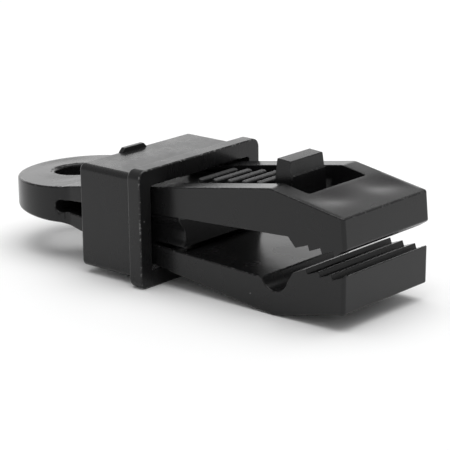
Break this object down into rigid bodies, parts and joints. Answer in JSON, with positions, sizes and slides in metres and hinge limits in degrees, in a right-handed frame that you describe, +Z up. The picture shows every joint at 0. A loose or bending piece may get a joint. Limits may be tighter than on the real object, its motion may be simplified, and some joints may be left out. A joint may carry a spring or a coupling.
{
  "type": "sliding-collar jaw clamp",
  "caption": "Toothed jaw clamp for sheet edges: a springy body with a rope eye at its tail and a sliding ratchet collar that closes the jaws.",
  "frame": {"origin": "on the surface that the clamp rests on, under the centre of its outer box", "axes": "+X from the rope eye towards the jaws, +Z up through the side that carries the thumb tab, +Y across the jaws"},
  "size_m": [0.094, 0.036, 0.0283],
  "materials": {
    "body_plastic": "satin black injection-moulded plastic, smooth, with soft gloss on its top faces",
    "collar_plastic": "satin black injection-moulded plastic, finely mottled"
  },
  "bodies": {
    "tail": {"tail_ring": "body_plastic"},
    "upper_jaw": {"upper_jaw": "body_plastic", "guide_lug": "body_plastic"},
    "lower_jaw": {"lower_jaw": "body_plastic"},
    "tongue": {"ratchet_tongue": "body_plastic", "thumb_tab": "body_plastic"},
    "collar": {"locking_collar": "collar_plastic"}
  },
  "joints": [
    {"name": "collar_slide", "type": "slide", "parent": "tail", "child": "collar", "axis": [1, 0, 0], "range_m": [-0.005, 0.008]},
    {"name": "upper_jaw_hinge", "type": "hinge", "parent": "tail", "child": "upper_jaw", "pos_m": [-0.0265, 0, 0.01445], "axis": [0, 1, 0], "range_deg": [-1.08, 1.72]},
    {"name": "lower_jaw_hinge", "type": "hinge", "parent": "tail", "child": "lower_jaw", "pos_m": [-0.0265, 0, 0.00925], "axis": [0, -1, 0], "range_deg": [-1.08, 1.72]},
    {"name": "tongue_press", "type": "hinge", "parent": "upper_jaw", "child": "tongue", "pos_m": [-0.01585, 0, 0.0163], "axis": [0, 1, 0], "range_deg": [0, 3.5], "stiffness_Nm_per_rad": 3}
  ],
  "couplings": [
    {"joint": "upper_jaw_hinge", "follows": "collar_slide", "rad_per_m": 3.7},
    {"joint": "lower_jaw_hinge", "follows": "collar_slide", "rad_per_m": 3.7}
  ]
}
